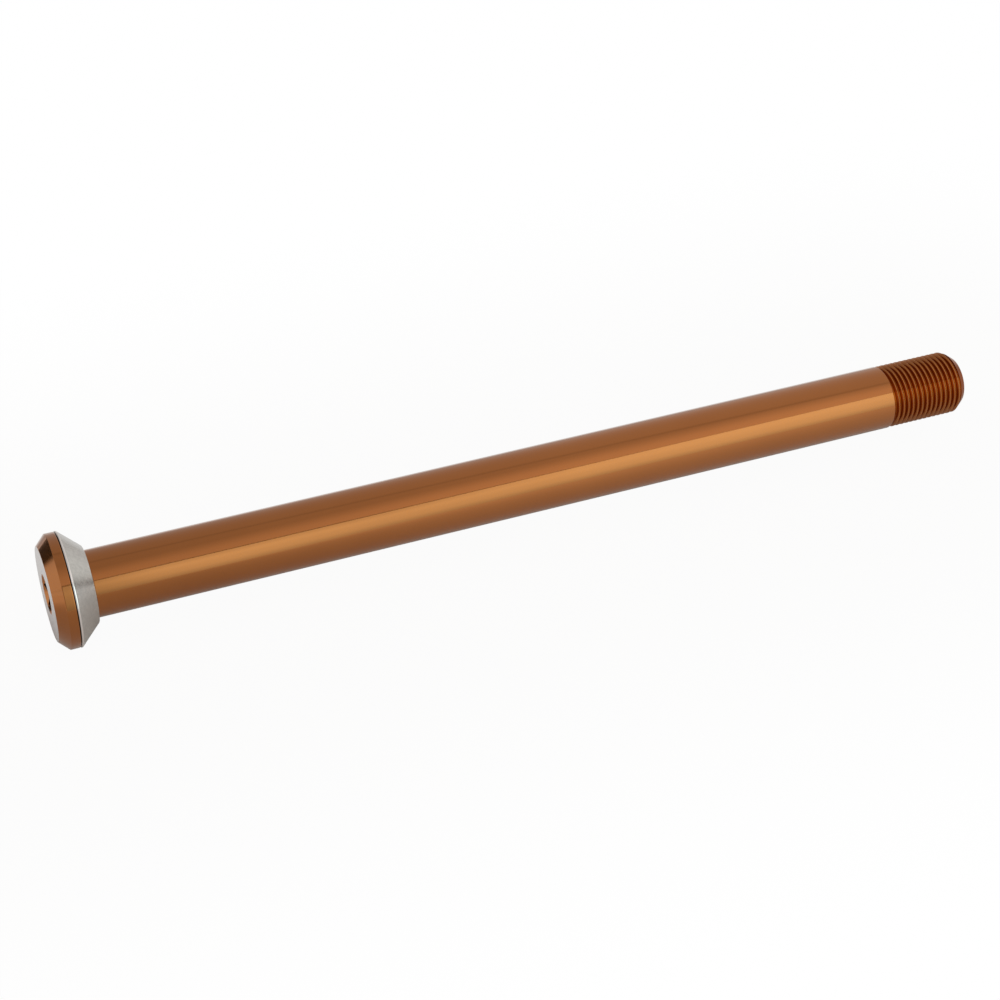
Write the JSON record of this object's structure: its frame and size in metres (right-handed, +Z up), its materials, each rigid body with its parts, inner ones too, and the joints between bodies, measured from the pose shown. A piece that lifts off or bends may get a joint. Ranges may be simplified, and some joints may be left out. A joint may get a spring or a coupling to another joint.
{
  "type": "rear thru axle",
  "caption": "Bicycle rear thru axle: round shank with a fine thread at one end, a chamfered head with a hex socket at the other, and a loose cone washer under the head.",
  "frame": {"origin": "on the axle's axis, in the plane under the head that the cone washer bears on", "axes": "+X along the axle from the head to the threaded tip, +Z up with the axle level, as it sits in a bicycle's frame"},
  "size_m": [0.1775, 0.0206, 0.0206],
  "materials": {
    "bronze_anodised": "glossy copper-bronze anodising over fine turning, with the head's front face machined bare",
    "satin_silver": "bare silver-grey metal, fine blasted satin"
  },
  "bodies": {
    "axle": {"axle": "bronze_anodised"},
    "washer": {"cone_washer": "satin_silver"}
  },
  "joints": [
    {"name": "washer_spin", "type": "hinge", "parent": "axle", "child": "washer", "pos_m": [0, 0, 0], "axis": [1, 0, 0], "continuous": true}
  ]
}
